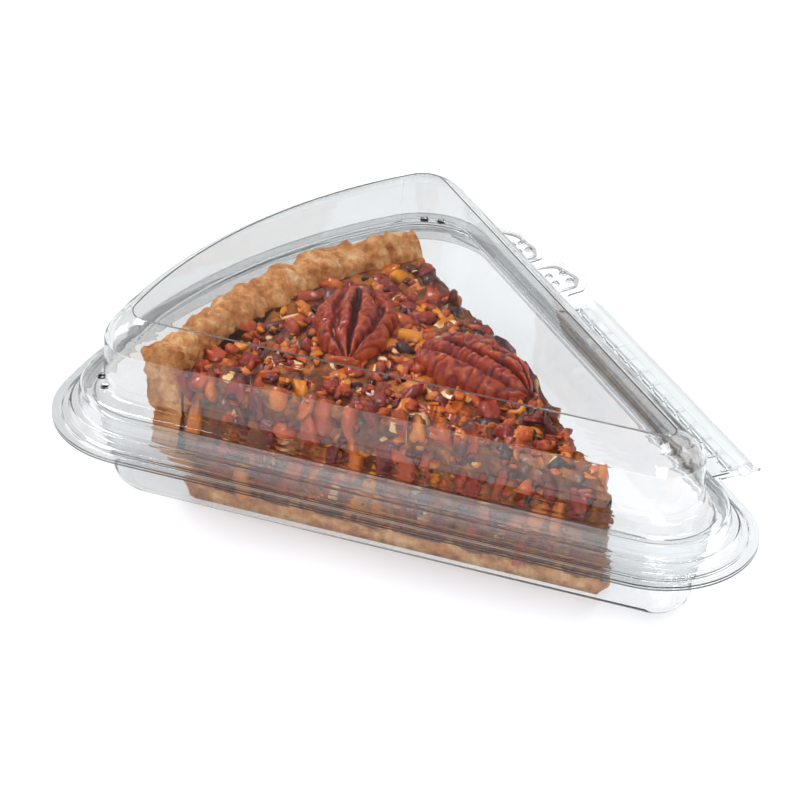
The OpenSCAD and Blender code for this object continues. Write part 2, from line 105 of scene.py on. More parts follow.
def gridFaces(rows, cols, closeRows=False, closeCols=False):
    # Quads between neighbours of a grid of points, row by row
    i = np.arange(rows if closeRows else rows - 1)
    j = np.arange(cols if closeCols else cols - 1)
    i, j = np.meshgrid(i, j, indexing="ij")
    i2 = (i + 1) % rows
    j2 = (j + 1) % cols
    quads = np.stack([i * cols + j, i * cols + j2, i2 * cols + j2, i2 * cols + j], axis=-1)
    return quads.reshape(-1, 4)


def meshPiece(name, points, faces, material, body, attributes=None):
    # The points are in millimetres in the frame of the CAD. Every closed part has its faces turned outwards.
    mesh = bpy.data.meshes.new(name)
    mesh.from_pydata((points.reshape(-1, 3) * mm).tolist(), [], faces)
    for key, values in (attributes or {}).items():
        layer = mesh.attributes.new(key, "FLOAT", "POINT")
        layer.data.foreach_set("value", np.asarray(values, dtype=np.float32).ravel())
    work = bmesh.new()
    work.from_mesh(mesh)
    bmesh.ops.recalc_face_normals(work, faces=work.faces)
    work.to_mesh(mesh)
    work.free()
    mesh.shade_smooth()
    mesh.materials.append(material)
    piece = bpy.data.objects.new(name, mesh)
    bpy.context.scene.collection.objects.link(piece)
    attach(piece, body)
    return piece


# Clear PET, thermoformed: smooth and glossy, cool at its edges, with the faint waves of a formed sheet.
# Where it was stretched over the near brow it has fine streaks.

clearSheet = {
    "tint": "#F8F9F9",      # what is left of white light after one sheet
    "roughness": 0.015,
    "ior": 1.575,
    "edgeColour": "#A9C4C9",
    "edgeDensity": 50.0,    # per metre, so it only shows where light runs along the sheet
    "shade": "#FBFBFC",     # what a lamp's light keeps at each face of a sheet
    "waveSize": 34.0,       # mm from one soft wave to the next
    "waveHeight": 0.035,    # mm
    "browFrom": 39.6,       # mm above the table: the stretched slope below the lid's flat top
    "browTo": 45.4,
    "browFade": 0.8,        # mm over which the streaks begin and end
    "streakWidth": 14.0,    # mm along the wall
    "streakRise": 2.2,      # mm up the wall
    "streakHeight": 0.22,   # mm
    "facing": (0.3, 0.6),   # cosines between which a face comes to count as on the near side
    "creaseFrom": 44.6,     # mm above the table: the sharp crease round the flat top
    "creaseCurve": 0.7,     # bends tighter than this, per mm, count as crease
    # painted shade: the grey of the creases round the flat top and of the bends round the tabs
    "creaseShadeColour": "#6E6C6D",
    "creaseShadeShare": 0.7,     # how much of its clearness a crease loses to painted shade
    "wedgeApex": 55.68,     # mm, where the lines of the two sides meet
    "sideAngle": 22.5,      # degrees from the middle line
    "tabFrom": (88.0, 30.2),    # mm along the hinge side and out from it, where the tabs begin
    "tabCurve": 1.2,
    "tabShadeShare": 0.65,       # of a full crease's painted shade
    "stripBack": 86.0,      # mm along the hinge side: the strip lies between here and the tip
    "stripOut": (29.4, 36.6),   # mm out from the line of the side
    "stripFrost": 0.45,
    "frostColour": "#EEF2F2",
    "mergeWithin": 1e-7,    # metres
    "dissolveBelow": 2e-6,
    "sharpAngle": 38,       # degrees
}


def makeClearPet():
    c = clearSheet
    material, tree = newMaterial("clearPetSheet")
    place = addNode(tree, "ShaderNodeTexCoord")
    waves = addNode(tree, "ShaderNodeTexNoise", {
        "Scale": 1 / (c["waveSize"] * mm), "Detail": 1.0, "Roughness": 0.4,
    }, {"Vector": place.outputs["Object"]})
    bump = addNode(tree, "ShaderNodeBump", {
        "Strength": 1.0, "Distance": c["waveHeight"] * mm,
    }, {"Height": waves.outputs["Fac"]})
    stretch = addNode(tree, "ShaderNodeMapping", {"Scale": (
        1 / (c["streakWidth"] * mm), 1 / (c["streakWidth"] * mm), 1 / (c["streakRise"] * mm)),
    }, {"Vector": place.outputs["Object"]})
    streaks = addNode(tree, "ShaderNodeTexNoise", {
        "Scale": 1.0, "Detail": 2.0, "Roughness": 0.5,
    }, {"Vector": stretch.outputs["Vector"]})
    # streaks only between two heights, and only on faces that look out over the near side
    parts = addNode(tree, "ShaderNodeSeparateXYZ", {}, {"Vector": place.outputs["Object"]})
    rising = addNode(tree, "ShaderNodeMapRange", {
        "interpolation_type": "SMOOTHSTEP",
        "From Min": (c["browFrom"] - c["browFade"]) * mm, "From Max": (c["browFrom"] + c["browFade"]) * mm,
    }, {"Value": parts.outputs["Z"]})
    ending = addNode(tree, "ShaderNodeMapRange", {
        "interpolation_type": "SMOOTHSTEP", "To Min": 1.0, "To Max": 0.0,
        "From Min": (c["browTo"] - c["browFade"]) * mm, "From Max": c["browTo"] * mm,
    }, {"Value": parts.outputs["Z"]})
    onBrow = addNode(tree, "ShaderNodeMath", {"operation": "MULTIPLY"}, {
        0: rising.outputs["Result"], 1: ending.outputs["Result"]})
    stretched = addNode(tree, "ShaderNodeAttribute", {"attribute_name": "stretched"})
    onNearBrow = addNode(tree, "ShaderNodeMath", {"operation": "MULTIPLY"}, {
        0: onBrow.outputs["Value"], 1: stretched.outputs["Fac"]})
    streakBump = addNode(tree, "ShaderNodeBump", {"Distance": c["streakHeight"] * mm}, {
        "Height": streaks.outputs["Fac"], "Strength": onNearBrow.outputs["Value"],
        "Normal": bump.outputs["Normal"]})
    # painted shade: a crease is made less clear and grey, for the dark line that light refracted through a
    # tight bend shows
    creaseShade = addNode(tree, "ShaderNodeAttribute", {"attribute_name": "creaseShade"})
    clear = addNode(tree, "ShaderNodeMapRange", {
        "To Min": 1.0, "To Max": 1.0 - c["creaseShadeShare"]}, {"Value": creaseShade.outputs["Fac"]})
    tint = addNode(tree, "ShaderNodeMix", {
        "data_type": "RGBA", 6: linearColour(c["tint"]), 7: linearColour(c["creaseShadeColour"]),
    }, {0: creaseShade.outputs["Fac"]})
    # the ribs of the hinge strip are thick and slightly frosted
    frosted = addNode(tree, "ShaderNodeAttribute", {"attribute_name": "frosted"})
    pale = addNode(tree, "ShaderNodeMix", {
        "data_type": "RGBA", 7: linearColour(c["frostColour"]),
    }, {0: frosted.outputs["Fac"], 6: tint.outputs[2]})
    clearer = addNode(tree, "ShaderNodeMath", {"operation": "SUBTRACT", "use_clamp": True}, {
        0: clear.outputs["Result"], 1: frosted.outputs["Fac"]})
    sheet = addNode(tree, "ShaderNodeBsdfPrincipled", {"Roughness": c["roughness"], "IOR": c["ior"]}, {
        "Base Color": pale.outputs[2], "Transmission Weight": clearer.outputs["Value"],
        "Normal": streakBump.outputs["Normal"]})
    # lamps shine through the sheet instead of leaving a black shadow
    path = addNode(tree, "ShaderNodeLightPath")
    passing = addNode(tree, "ShaderNodeMath", {"operation": "MAXIMUM"}, {
        0: path.outputs["Is Shadow Ray"], 1: path.outputs["Is Diffuse Ray"]})
    through = addNode(tree, "ShaderNodeBsdfTransparent", {"Color": linearColour(c["shade"])})
    mix = addNode(tree, "ShaderNodeMixShader", {}, {
        "Fac": passing.outputs["Value"], 1: sheet.outputs["BSDF"], 2: through.outputs["BSDF"]})
    inside = addNode(tree, "ShaderNodeVolumeAbsorption", {
        "Color": linearColour(c["edgeColour"]), "Density": c["edgeDensity"]})
    addNode(tree, "ShaderNodeOutputMaterial", {}, {
        "Surface": mix.outputs["Shader"], "Volume": inside.outputs["Volume"]})
    return material


def tightestBend(face):
    # The turn to a neighbour divided by the face's own height over the shared edge, per millimetre
    curve = 0.0
    area = face.calc_area()
    for edge in face.edges:
        length = edge.calc_length()
        if len(edge.link_faces) == 2 and length > 1e-6:
            curve = max(curve, edge.calc_face_angle(0.0) * length / max(2 * area, 1e-12) * mm)
    return curve


def markFaces(work):
    # For each face: how far it looks out over the near side, how much painted crease shade it gets, and how
    # frosted
    c = clearSheet
    stretched, creaseShade, frosted = [], [], []
    side = math.radians(c["sideAngle"])
    nearSide = (math.sin(side), -math.cos(side), 0)
    facingFrom, facingTo = c["facing"]
    stripIn, stripOut = c["stripOut"]
    for face in work.faces:
        middle = face.calc_center_median() / mm
        facing = (face.normal.dot(nearSide) - facingFrom) / (facingTo - facingFrom)
        stretched.append(min(max(facing, 0.0), 1.0))
        # along the hinge side from the wedge's apex, and square out from the line of that side
        x, y = middle.x - c["wedgeApex"], middle.y
        along = y * math.sin(side) - x * math.cos(side)
        out = x * math.sin(side) + y * math.cos(side)
        if middle.z > c["creaseFrom"]:
            creaseShade.append(1.0 if tightestBend(face) > c["creaseCurve"] else 0.0)
        elif along > c["tabFrom"][0] and out > c["tabFrom"][1]:
            creaseShade.append(c["tabShadeShare"] if tightestBend(face) > c["tabCurve"] else 0.0)
        else:
            creaseShade.append(0.0)
        inStrip = along < c["stripBack"] and stripIn < out < stripOut
        frosted.append(c["stripFrost"] if inStrip else 0.0)
    return stretched, creaseShade, frosted


def formedSheet(name, node, body, material):
    # A copy of the CAD sheet with its loose triangles joined, so that its bends shade as round
    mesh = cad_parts[node].data.copy()
    mesh.name = name
    work = bmesh.new()
    work.from_mesh(mesh)
    bmesh.ops.remove_doubles(work, verts=work.verts, dist=clearSheet["mergeWithin"])
    bmesh.ops.dissolve_degenerate(work, dist=clearSheet["dissolveBelow"], edges=work.edges)
    bmesh.ops.triangulate(work, faces=work.faces)
    marks = markFaces(work)
    work.to_mesh(mesh)
    work.free()
    for key, values in zip(("stretched", "creaseShade", "frosted"), marks):
        layer = mesh.attributes.new(key, "FLOAT", "FACE")
        layer.data.foreach_set("value", np.array(values, dtype=np.float32))
    if "custom_normal" in mesh.attributes:
        mesh.attributes.remove(mesh.attributes["custom_normal"])
    mesh.shade_smooth()
    mesh.set_sharp_from_angle(angle=math.radians(clearSheet["sharpAngle"]))
    mesh.materials.clear()
    mesh.materials.append(material)
    piece = bpy.data.objects.new(name, mesh)
    bpy.context.scene.collection.objects.link(piece)
    even = piece.modifiers.new("evenShading", "WEIGHTED_NORMAL")
    even.mode = "FACE_AREA"
    even.weight = 80
    even.keep_sharp = True
    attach(piece, body)
    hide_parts(node)


clearPet = makeClearPet()
formedSheet("traySheet", "base_tray", "tray", clearPet)
formedSheet("lidSheet", "lid", "cover", clearPet)
print("sheets formed")


# the slice: every point is given by its distance from the apex, its angle and its height

def slicePoints(radius, angle, height):
    # The angle runs from -1 on the near cut face to 1 on the far one. The faces lean in towards the top.
    turn = np.radians(slicePlace["halfAngle"]) * angle
    middle = (slicePlace["bottom"] + slicePlace["top"]) / 2
    inward = np.tan(math.radians(slicePlace["lean"])) * (height - middle) * angle
    x = slicePlace["apex"][0] - radius * np.cos(turn)
    y = slicePlace["apex"][1] + radius * np.sin(turn) - inward
    return np.stack([x, y, height + 0 * x], axis=-1)


def topHeight(radius, angle):
    # Flat, and sloping down towards the tip
    along = radius * np.cos(np.radians(slicePlace["halfAngle"]) * angle)
    drop = slicePlace["tipDrop"] * (1 - along / slicePlace["tipReach"])
    return slicePlace["top"] - np.maximum(drop, 0)


def loopNormals(points):
    # Normals of a grid of points from the cross product of its two directions
    across = np.gradient(points, axis=1)
    along = np.gradient(points, axis=0)
    normal = np.cross(along, across)
    return normal / np.maximum(np.linalg.norm(normal, axis=-1, keepdims=True), 1e-9)


# Shortcrust pastry, baked: dull, golden, flaky, darker in patches
pastry = {
    "pale": "#F2C48C",
    "golden": "#D58F50",
    "baked": "#9E5A24",
    "patchSize": 5.0,       # mm
    "flakeSize": 1.5,       # mm
    "flakeHeight": 1.0,     # mm
    "roughness": 0.55,
    "ior": 1.45,
}


def makePastry():
    material, tree = newMaterial("bakedPastry")
    place = addNode(tree, "ShaderNodeTexCoord")
    patches = addNode(tree, "ShaderNodeTexNoise", {
        "Scale": 1 / (pastry["patchSize"] * mm), "Detail": 6.0, "Roughness": 0.7,
    }, {"Vector": place.outputs["Object"]})
    colour = addNode(tree, "ShaderNodeValToRGB", {}, {"Fac": patches.outputs["Fac"]})
    setRamp(colour, [(0.34, pastry["baked"]), (0.5, pastry["golden"]), (0.64, pastry["pale"])])
    flakes = addNode(tree, "ShaderNodeTexNoise", {
        "Scale": 1 / (pastry["flakeSize"] * mm), "Detail": 6.0, "Roughness": 0.65,
    }, {"Vector": place.outputs["Object"]})
    bump = addNode(tree, "ShaderNodeBump", {
        "Strength": 1.0, "Distance": pastry["flakeHeight"] * mm,
    }, {"Height": flakes.outputs["Fac"]})
    surface = addNode(tree, "ShaderNodeBsdfPrincipled", {
        "Roughness": pastry["roughness"], "IOR": pastry["ior"],
        "Subsurface Weight": 0.15, "Subsurface Scale": 0.002, "Subsurface Radius": (1.0, 0.5, 0.25),
    }, {"Base Color": colour.outputs["Color"], "Normal": bump.outputs["Normal"]})
    addNode(tree, "ShaderNodeOutputMaterial", {}, {"Surface": surface.outputs["BSDF"]})
    return material


# Egg and syrup custard between the nuts: dark amber, wet gloss
custard = {
    "dark": "#321000",
    "amber": "#7E3A00",
    "bright": "#D07C06",
    "patchSize": 5.0,       # mm
    "grainSize": 1.3,       # mm
    "grainHeight": 0.45,    # mm
    "roughness": 0.5,
    "ior": 1.4,
    "coat": 0.6,
    "coatRoughness": 0.06,
}


def makeCustard():
    material, tree = newMaterial("syrupCustard")
    place = addNode(tree, "ShaderNodeTexCoord")
    patches = addNode(tree, "ShaderNodeTexNoise", {
        "Scale": 1 / (custard["patchSize"] * mm), "Detail": 4.0, "Roughness": 0.6,
    }, {"Vector": place.outputs["Object"]})
    colour = addNode(tree, "ShaderNodeValToRGB", {}, {"Fac": patches.outputs["Fac"]})
    setRamp(colour, [(0.3, custard["dark"]), (0.52, custard["amber"]), (0.72, custard["bright"])])
    grain = addNode(tree, "ShaderNodeTexNoise", {
        "Scale": 1 / (custard["grainSize"] * mm), "Detail": 5.0, "Roughness": 0.6,
    }, {"Vector": place.outputs["Object"]})
    bump = addNode(tree, "ShaderNodeBump", {
        "Strength": 1.0, "Distance": custard["grainHeight"] * mm,
    }, {"Height": grain.outputs["Fac"]})
    surface = addNode(tree, "ShaderNodeBsdfPrincipled", {
        "Roughness": custard["roughness"], "IOR": custard["ior"],
        "Coat Weight": custard["coat"], "Coat Roughness": custard["coatRoughness"],
    }, {"Base Color": colour.outputs["Color"], "Normal": bump.outputs["Normal"]})
    addNode(tree, "ShaderNodeOutputMaterial", {}, {"Surface": surface.outputs["BSDF"]})
    return material


# Pecan under a syrup glaze: red-brown skin with fine lines, cream flesh where it is broken
pecan = {
    "skinDark": "#2E0706",
    "burgundy": "#8E1A05",
    "brown": "#C25004",
    "golden": "#E68C10",
    "flesh": "#F0CB8E",
    "syrupShade": "#6B3A22",     # painted shade in a syrup colour, multiplied in on each piece's lower sides, where it sinks into the custard
    "choppedLines": 2.2,    # mm, the size of the skin's lines on chopped pieces
    "halfLines": 3.0,       # mm, on whole halves
    "grainSize": 0.9,       # mm
    "lineHeight": 0.5,      # mm
    "roughness": 0.5,
    "ior": 1.4,
    "coat": 0.7,
    "coatRoughness": 0.1,
}


def makePecan(name, lineSize):
    material, tree = newMaterial(name)
    place = addNode(tree, "ShaderNodeTexCoord")
    tint = addNode(tree, "ShaderNodeAttribute", {"attribute_name": "tint"})
    broken = addNode(tree, "ShaderNodeAttribute", {"attribute_name": "broken"})
    streaks = addNode(tree, "ShaderNodeTexNoise", {
        "Scale": 1 / (lineSize * mm), "Detail": 5.0, "Roughness": 0.65, "Distortion": 0.4,
    }, {"Vector": place.outputs["Object"]})
    # the skin's tone is the piece's tint plus what its lines add; on the halves that tint also holds painted
    # highlight and painted shade
    shade = addNode(tree, "ShaderNodeMath", {"operation": "MULTIPLY_ADD", "use_clamp": True, 1: 0.55}, {
        0: streaks.outputs["Fac"], 2: tint.outputs["Fac"]})
    skin = addNode(tree, "ShaderNodeValToRGB", {}, {"Fac": shade.outputs["Value"]})
    setRamp(skin, [
        (0.22, pecan["skinDark"]), (0.48, pecan["burgundy"]),
        (0.72, pecan["brown"]), (0.98, pecan["golden"])])
    # broken faces turn to flesh, with an edge that the lines make ragged
    edge = addNode(tree, "ShaderNodeMath", {"operation": "MULTIPLY_ADD", 1: 0.8}, {
        0: streaks.outputs["Fac"], 2: broken.outputs["Fac"]})
    fleshShare = addNode(tree, "ShaderNodeMapRange", {
        "From Min": 1.0, "From Max": 1.15,
    }, {"Value": edge.outputs["Value"]})
    colour = addNode(tree, "ShaderNodeMix", {"data_type": "RGBA", 7: linearColour(pecan["flesh"])}, {
        0: fleshShare.outputs["Result"], 6: skin.outputs["Color"]})
    # painted shade: each piece is darkened with a syrup colour on its lower sides, where it sinks into the
    # custard
    sunkShade = addNode(tree, "ShaderNodeAttribute", {"attribute_name": "sunkShade"})
    syrupShade = addNode(tree, "ShaderNodeMix", {
        "data_type": "RGBA", "blend_type": "MULTIPLY", 7: linearColour(pecan["syrupShade"]),
    }, {0: sunkShade.outputs["Fac"], 6: colour.outputs[2]})
    grain = addNode(tree, "ShaderNodeTexNoise", {
        "Scale": 1 / (pecan["grainSize"] * mm), "Detail": 3.0, "Roughness": 0.6,
    }, {"Vector": place.outputs["Object"]})
    relief = addNode(tree, "ShaderNodeMath", {"operation": "MULTIPLY_ADD", 1: 0.4}, {
        0: grain.outputs["Fac"], 2: streaks.outputs["Fac"]})
    bump = addNode(tree, "ShaderNodeBump", {
        "Strength": 0.8, "Distance": pecan["lineHeight"] * mm,
    }, {"Height": relief.outputs["Value"]})
    surface = addNode(tree, "ShaderNodeBsdfPrincipled", {
        "Roughness": pecan["roughness"], "IOR": pecan["ior"],
        "Coat Weight": pecan["coat"], "Coat Roughness": pecan["coatRoughness"],
        "Subsurface Weight": 0.1, "Subsurface Scale": 0.0012, "Subsurface Radius": (1.0, 0.3, 0.1),
    }, {"Base Color": syrupShade.outputs[2], "Normal": bump.outputs["Normal"]})
    addNode(tree, "ShaderNodeOutputMaterial", {}, {"Surface": surface.outputs["BSDF"]})
    return material


bakedPastry = makePastry()
syrupCustard = makeCustard()
choppedPecan = makePecan("glazedChoppedPecan", pecan["choppedLines"])
halfPecan = makePecan("glazedPecanHalf", pecan["halfLines"])


# the crust: a section in distance and height, carried round the slice

crustShape = {
    "tipStart": 3.0,        # mm from the slice's apex
    "footRadius": 104.1,
    "wallRadius": 114.2,
    "wallHeight": 13.4,
    "wall": 5,              # mm from the outside of the wall to its inside
    "thickness": 4.0,       # mm, of the bottom
    "rimMiddle": (112.9, 32.3),
    "rimRadius": 5.2,
    "rimArc": (-20, 200),   # degrees, from the outside over the top
    "rimSteps": 34,
    "steps": (60, 12, 16, 34, 16, 10, 60, 5),   # of each part of the section
    "columns": 260,         # round the slice
    "lumpsFrom": (24, 98),  # mm up and out, where the rim's lumps begin
    "lumpsFade": (9, 8),
    "crimps": 11,
    "crimpDepth": 1.1,
    "nearEnd": (0.62, 0.38),    # from this share of the way to the near cut face the rim rises
    "nearEndLift": 2.4,     # mm
    "flatUnder": 1.2,       # mm above the tray before the crumb begins
    # soft lumps of the baked crumb: size in mm, seed, height in mm
    "crumb": ((12, 11, 0.6), (5.0, 12, 0.42), (2.6, 13, 0.3), (1.7, 14, 0.16)),
}


def crustSection():
    # Bottom, sloping wall, rounded rim, inner wall and the top of the bottom layer, as one closed loop
    c = crustShape
    low = slicePlace["bottom"]
    arc = np.radians(np.linspace(*c["rimArc"], c["rimSteps"]))
    rim = np.stack([
        c["rimMiddle"][0] + c["rimRadius"] * np.cos(arc),
        c["rimMiddle"][1] + c["rimRadius"] * np.sin(arc)], axis=-1)
    tipLow = [c["tipStart"], low]
    tipHigh = [c["tipStart"], low + c["thickness"]]
    foot = [c["footRadius"], low]
    footInside = [c["footRadius"] - c["wall"], low + c["thickness"]]
    bend = [c["wallRadius"], c["wallHeight"]]
    bendInside = [c["wallRadius"] - c["wall"], c["wallHeight"]]
    lines = [
        np.array([tipLow, foot]),
        np.array([foot, bend]),
        np.array([bend, rim[0]]),
        rim,
        np.array([rim[-1], bendInside]),
        np.array([bendInside, footInside]),
        np.array([footInside, tipHigh]),
        np.array([tipHigh, tipLow]),
    ]
    parts = []
    for line, count in zip(lines, c["steps"]):
        if len(line) == 2:
            share = np.linspace(0, 1, count, endpoint=False)[:, None]
            parts.append(line[0] * (1 - share) + line[1] * share)
        else:
            parts.append(line[:-1])
    return np.concatenate(parts)


def makeCrust():
    c = crustShape
    section = crustSection()
    angle = np.linspace(-1, 1, c["columns"])
    radius, turn = np.meshgrid(section[:, 0], angle, indexing="ij")
    height = np.repeat(section[:, 1][:, None], len(angle), axis=1)
    # the rim is pinched: its lumps swell and sink along the edge
    upShare = np.clip((height - c["lumpsFrom"][0]) / c["lumpsFade"][0], 0, 1)
    rimShare = upShare * np.clip((radius - c["lumpsFrom"][1]) / c["lumpsFade"][1], 0, 1)
    pinch = np.abs(np.sin((turn + 1) / 2 * math.pi * c["crimps"] + 0.9 * np.sin(turn * 7 + 1)))
    lump = (pinch ** 0.7 - 0.55) * c["crimpDepth"] + 0.3 * np.sin(turn * 17 + 1)
    fromMiddle = np.stack([radius - c["rimMiddle"][0], height - c["rimMiddle"][1]], axis=-1)
    fromMiddle /= np.maximum(np.linalg.norm(fromMiddle, axis=-1, keepdims=True), 1e-6)
    radius = radius + fromMiddle[..., 0] * lump * rimShare
    nearEnd = np.clip((-turn - c["nearEnd"][0]) / c["nearEnd"][1], 0, 1) ** 1.5
    height = height + fromMiddle[..., 1] * lump * rimShare + c["nearEndLift"] * nearEnd * rimShare
    points = slicePoints(radius, turn, height)
    # crumb: soft lumps of several sizes along the normals, and none on the underside
    normal = loopNormals(points)
    rough = sum(planeWaves(points, size, seed) * share for size, seed, share in c["crumb"])
    keep = np.clip((height - slicePlace["bottom"]) / c["flatUnder"], 0, 1)
    points = points + normal * (rough * keep)[..., None]
    points[..., 2] = np.maximum(points[..., 2], slicePlace["bottom"] + 0.02)
    rows, cols = points.shape[:2]
    faces = gridFaces(rows, cols, closeRows=True).tolist()
    faces.append((np.arange(rows) * cols).tolist())
    faces.append((np.arange(rows) * cols + cols - 1).tolist())
    piece = meshPiece("pieCrust", points, faces, bakedPastry, "tray")
    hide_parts("pie_crust")


makeCrust()
print("crust made")


# the filling: loops round the slice from the tip to the crust, with an uneven skin

fillingShape = {
    "tipStart": 2.0,        # mm from the slice's apex
    "lowRadius": 98.8,
    "wallRadius": 108.9,
    "bend": 0.32,           # the share of its height where the crust's wall turns upright
    "drawnIn": 1.5,         # mm, from that bend to the top
    "overlap": 0.3,         # mm into the crust's bottom
    "columns": 150,         # from the tip to the crust
    "faceSteps": 34,
    "topSteps": 60,
    "underSteps": 20,
    "lumps": ((8, 21, 0.5), (3.0, 22, 0.45)),   # size in mm, seed, height in mm
    "setIn": 0.5,           # mm, how far the skin lies inside its own loops
}


def makeFilling():
    f = fillingShape
    low = slicePlace["bottom"] + crustShape["thickness"] - f["overlap"]
    share = np.linspace(0, 1, f["columns"])
    # one loop: up the near face, over the top, down the far face, back along the bottom
    onFace = np.ones(f["faceSteps"])
    up = np.linspace(0, 1, f["faceSteps"], endpoint=False)
    over = np.linspace(-1, 1, f["topSteps"], endpoint=False)
    under = np.linspace(1, -1, f["underSteps"], endpoint=False)
    angle = np.concatenate([-onFace, over, onFace, under])
    rise = np.concatenate([up, np.ones(f["topSteps"]), 1 - up, np.zeros(f["underSteps"])])
    share, angle = np.meshgrid(share, angle, indexing="ij")
    rise = np.repeat(rise[None], share.shape[0], axis=0)
    # the outer edge follows the crust's inside: a slope up to the bend, then nearly upright
    outer = f["lowRadius"] + (f["wallRadius"] - f["lowRadius"]) * np.clip(rise / f["bend"], 0, 1)
    outer = outer - f["drawnIn"] * np.clip((rise - f["bend"]) / (1 - f["bend"]), 0, 1)
    radius = f["tipStart"] + (outer - f["tipStart"]) * share
    top = topHeight(radius, angle)
    height = low + (top - low) * rise
    points = slicePoints(radius, angle, height)
    normal = loopNormals(points)
    rough = sum(planeWaves(points, size, seed) * part for size, seed, part in f["lumps"]) - f["setIn"]
    keep = np.clip((height - low) / 1.5, 0, 1) * np.clip((0.995 - share) / 0.02, 0, 1)
    points = points - normal * (rough * keep)[..., None]
    rows, cols = points.shape[:2]
    faces = gridFaces(rows, cols, closeCols=True).tolist()
    faces.append(np.arange(cols).tolist())
    faces.append((np.arange(cols) + (rows - 1) * cols).tolist())
    piece = meshPiece("pieFilling", points, faces, syrupCustard, "tray")
    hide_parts("pecan_filling")


makeFilling()
print("filling made")


# chopped pecans: one small lumpy shape, stretched, bent and turned for each piece

choppedNuts = {
    "seed": 5,
    "length": (2.1, 5.0),   # half sizes in mm, from the smallest piece to the largest
    "width": (1.5, 2.9),
    "thickness": (1.5, 2.6),
    "square": (0.62, 0.95),     # powers below 1 square the ball
    "lumps": 0.2,
    "cuts": 3,
    "cutAt": (0.35, 0.9),   # shares of the piece's half size
    "tilt": 0.35,           # radians
    "tint": (0.36, 0.2),    # the mean of the skin's shade and its spread
    "paleShare": 0.2,       # of the pieces, broken ones that show flesh
    "topPitch": 5.7,        # mm
    "topStray": 1.2,        # mm from a piece's place in the grid
    "topReach": 106.5,      # mm from the apex
    "topEdge": 0.9,         # mm, nearest to the cut faces
    "topSink": (-2.0, 0.2),     # mm below and above the filling's top
    "halfOval": (16, 9.5),  # mm, half the length and width that a pecan half covers
    "faceStart": (10, 8.4),     # mm along the cut face and up it
    "facePitch": (5.9, 8.2),
    "faceStray": (1.0, 1.2),
    "faceWall": 2.2,        # mm, nearest to the crust
    "faceSink": (-2.4, -0.7),   # mm behind the cut face
    "faceScale": 1.4,
    "faceSpin": 0.7,        # radians
    "faceSlim": 0.82,
    "bitsOnTop": 420,
    "bitsPerFace": 150,
    "bitScale": 0.45,
}

# where the two pecan halves lie: mm from the slice's apex, and degrees
halves = {
    "rear": {"radius": 86.2, "angle": 2.0, "turn": -51.0},
    "front": {"radius": 53.1, "angle": 10.0, "turn": 3.0},
}


def halfPlace(spot):
    turn = math.radians(spot["angle"])
    return np.array([
        slicePlace["apex"][0] - spot["radius"] * math.cos(turn),
        slicePlace["apex"][1] + spot["radius"] * math.sin(turn)])


def lumpShape(rings=5, columns=8):
    # A ball of rings and columns, closed at its poles
    lat = np.linspace(0, math.pi, rings + 2)[1:-1]
    lon = np.linspace(0, 2 * math.pi, columns, endpoint=False)
    lat2, lon2 = np.meshgrid(lat, lon, indexing="ij")
    ring = np.stack([np.sin(lat2) * np.cos(lon2), np.sin(lat2) * np.sin(lon2), np.cos(lat2)], axis=-1)
    points = np.concatenate([ring.reshape(-1, 3), [[0, 0, 1], [0, 0, -1]]])
    quads = gridFaces(rings, columns, closeCols=True)
    north = rings * columns
    south = north + 1
    lastRing = north - columns
    j = np.arange(columns)
    following = (j + 1) % columns
    top = np.stack([j, following, np.full(columns, north)], axis=-1)
    bottom = np.stack([lastRing + following, lastRing + j, np.full(columns, south)], axis=-1)
    return points, quads, np.concatenate([top, bottom])


def turnMatrices(a, b, c):
    # Turns about Z, then Y, then X, for whole arrays of angles
    zero, one = np.zeros_like(a), np.ones_like(a)
    rz = np.stack([np.cos(a), -np.sin(a), zero, np.sin(a), np.cos(a), zero, zero, zero, one], -1)
    ry = np.stack([np.cos(b), zero, np.sin(b), zero, one, zero, -np.sin(b), zero, np.cos(b)], -1)
    rx = np.stack([one, zero, zero, zero, np.cos(c), -np.sin(c), zero, np.sin(c), np.cos(c)], -1)
    shape = a.shape + (3, 3)
    return rx.reshape(shape) @ ry.reshape(shape) @ rz.reshape(shape)


